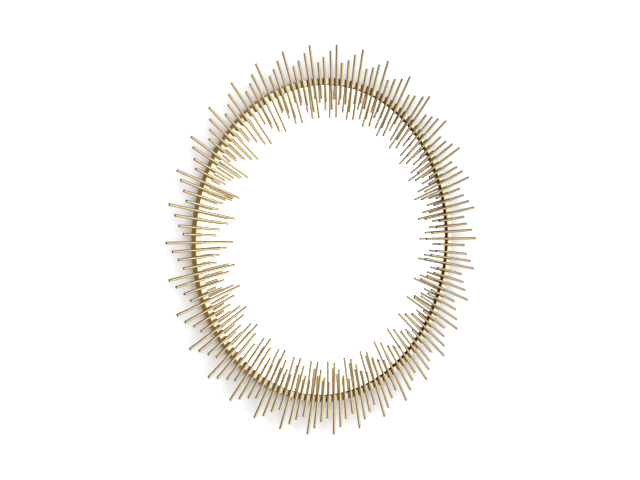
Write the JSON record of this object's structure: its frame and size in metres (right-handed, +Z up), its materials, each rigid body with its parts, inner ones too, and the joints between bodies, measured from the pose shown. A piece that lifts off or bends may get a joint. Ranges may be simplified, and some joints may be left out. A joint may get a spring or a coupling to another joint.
{
  "type": "sunburst wall mirror",
  "caption": "Round wall mirror in a brass hoop crossed by radial open tubes of stepped lengths, with D-ring hangers.",
  "frame": {"origin": "on the wall plane, behind the centre of the mirror", "axes": "+Y into the wall, so the mirror faces -Y; +Z up; +X to the right as seen from the front"},
  "size_m": [0.914, 0.032, 0.914],
  "materials": {
    "satin_brass": "satin brass plate",
    "polished_brass": "polished brass plate",
    "mirror": "silvered float glass",
    "foam": "white foam mounting tape",
    "fibreboard": "brown fibreboard",
    "zinc_steel": "zinc plated steel",
    "clear_rubber": "soft rubber"
  },
  "bodies": {
    "root": {"ray_cluster_01": "satin_brass", "ray_cluster_02": "satin_brass", "ray_cluster_03": "satin_brass", "ray_cluster_04": "satin_brass", "ray_cluster_05": "satin_brass", "ray_cluster_06": "satin_brass", "ray_cluster_07": "satin_brass", "ray_cluster_08": "satin_brass", "ray_cluster_09": "satin_brass", "ray_cluster_10": "satin_brass", "ray_cluster_11": "satin_brass", "ray_cluster_12": "satin_brass", "ray_cluster_13": "satin_brass", "ray_cluster_14": "satin_brass", "ray_cluster_15": "satin_brass", "ray_cluster_16": "satin_brass", "ray_cluster_17": "satin_brass", "ray_cluster_18": "satin_brass", "ray_cluster_19": "satin_brass", "ray_cluster_20": "satin_brass", "ray_cluster_21": "satin_brass", "ray_cluster_22": "satin_brass", "ray_cluster_23": "satin_brass", "ray_cluster_24": "satin_brass", "ray_cluster_25": "satin_brass", "ray_cluster_26": "satin_brass", "ray_cluster_27": "satin_brass", "ray_cluster_28": "satin_brass", "ray_cluster_29": "satin_brass", "ray_cluster_30": "satin_brass", "ray_cluster_31": "satin_brass", "ray_cluster_32": "satin_brass", "ray_cluster_33": "satin_brass", "ray_cluster_34": "satin_brass", "ray_cluster_35": "satin_brass", "ray_cluster_36": "satin_brass", "tube_saddles": "polished_brass", "hoop_frame": "polished_brass", "mirror_stop": "polished_brass", "mirror_glass": "mirror", "foam_tape": "foam", "backing_board": "fibreboard", "button_screws": "zinc_steel", "hanger_strap_right": "zinc_steel", "hanger_strap_left": "zinc_steel", "hanger_screws": "zinc_steel", "wall_bumper_1": "clear_rubber", "wall_bumper_2": "clear_rubber", "wall_bumper_3": "clear_rubber", "wall_bumper_4": "clear_rubber"},
    "button_1": {"turn_button_1": "zinc_steel"},
    "button_2": {"turn_button_2": "zinc_steel"},
    "button_3": {"turn_button_3": "zinc_steel"},
    "button_4": {"turn_button_4": "zinc_steel"},
    "button_5": {"turn_button_5": "zinc_steel"},
    "button_6": {"turn_button_6": "zinc_steel"},
    "hang_ring_right": {"d_ring_right": "zinc_steel"},
    "hang_ring_left": {"d_ring_left": "zinc_steel"}
  },
  "joints": [
    {"name": "turn_button_1_swivel", "type": "hinge", "parent": "root", "child": "button_1", "pos_m": [0.3725, -0.0044, 0], "axis": [0, 1, 0], "range_deg": [-90, 90]},
    {"name": "turn_button_2_swivel", "type": "hinge", "parent": "root", "child": "button_2", "pos_m": [0.18625, -0.0044, 0.32259], "axis": [0, 1, 0], "range_deg": [-90, 90]},
    {"name": "turn_button_3_swivel", "type": "hinge", "parent": "root", "child": "button_3", "pos_m": [-0.18625, -0.0044, 0.32259], "axis": [0, 1, 0], "range_deg": [-90, 90]},
    {"name": "turn_button_4_swivel", "type": "hinge", "parent": "root", "child": "button_4", "pos_m": [-0.3725, -0.0044, 0], "axis": [0, 1, 0], "range_deg": [-90, 90]},
    {"name": "turn_button_5_swivel", "type": "hinge", "parent": "root", "child": "button_5", "pos_m": [-0.18625, -0.0044, -0.32259], "axis": [0, 1, 0], "range_deg": [-90, 90]},
    {"name": "turn_button_6_swivel", "type": "hinge", "parent": "root", "child": "button_6", "pos_m": [0.18625, -0.0044, -0.32259], "axis": [0, 1, 0], "range_deg": [-90, 90]},
    {"name": "d_ring_right_hinge", "type": "hinge", "parent": "root", "child": "hang_ring_right", "pos_m": [0.31209, -0.0024, 0.20444], "axis": [0.866, 0, 0.5], "range_deg": [0, 180]},
    {"name": "d_ring_left_hinge", "type": "hinge", "parent": "root", "child": "hang_ring_left", "pos_m": [-0.31209, -0.0024, 0.20444], "axis": [0.866, 0, -0.5], "range_deg": [0, 180]}
  ]
}
